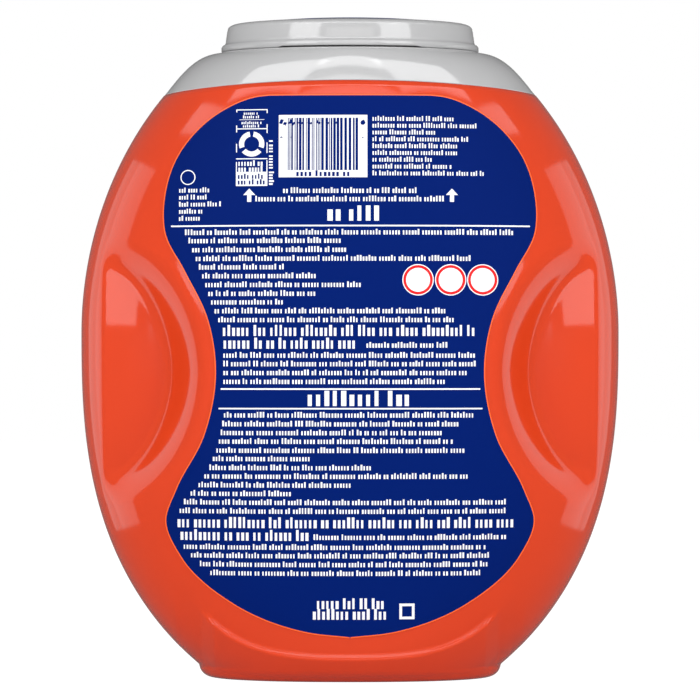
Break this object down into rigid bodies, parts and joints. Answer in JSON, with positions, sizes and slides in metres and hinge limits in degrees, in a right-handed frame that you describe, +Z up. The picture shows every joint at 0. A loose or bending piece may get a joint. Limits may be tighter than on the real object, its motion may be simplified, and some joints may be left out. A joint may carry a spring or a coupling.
{
  "type": "laundry pod tub",
  "caption": "Large blow-moulded tub for laundry pods, with finger grips on both sides, a collar over the neck, a latched flip-top lid and hourglass labels.",
  "frame": {"origin": "middle of the foot, on the surface that the tub stands on", "axes": "+Z up, width along X, depth along Y; the front with the latch buttons faces +Y and the lid's hinge is at -Y"},
  "size_m": [0.2262, 0.1646, 0.2767],
  "materials": {
    "tub_plastic": "glossy blown plastic, orange-red",
    "closure_plastic": "semi-gloss moulded plastic, light grey",
    "label_film": "printed plastic film, dark blue"
  },
  "bodies": {
    "tub": {"tub_body": "tub_plastic", "collar": "closure_plastic", "back_label": "label_film", "front_label": "label_film"},
    "lid": {"lid": "closure_plastic", "lid_label": "label_film"},
    "latch_left": {"latch_button_left": "closure_plastic"},
    "latch_right": {"latch_button_right": "closure_plastic"}
  },
  "joints": [
    {"name": "lid_hinge", "type": "hinge", "parent": "tub", "child": "lid", "pos_m": [0, -0.054, 0.263], "axis": [1, 0, 0], "range_deg": [0, 110]},
    {"name": "latch_left_press", "type": "slide", "parent": "tub", "child": "latch_left", "axis": [0.4384, -0.8988, 0], "range_m": [0, 0.0016], "stiffness_N_per_m": 600},
    {"name": "latch_right_press", "type": "slide", "parent": "tub", "child": "latch_right", "axis": [-0.4384, -0.8988, 0], "range_m": [0, 0.0016], "stiffness_N_per_m": 600}
  ]
}
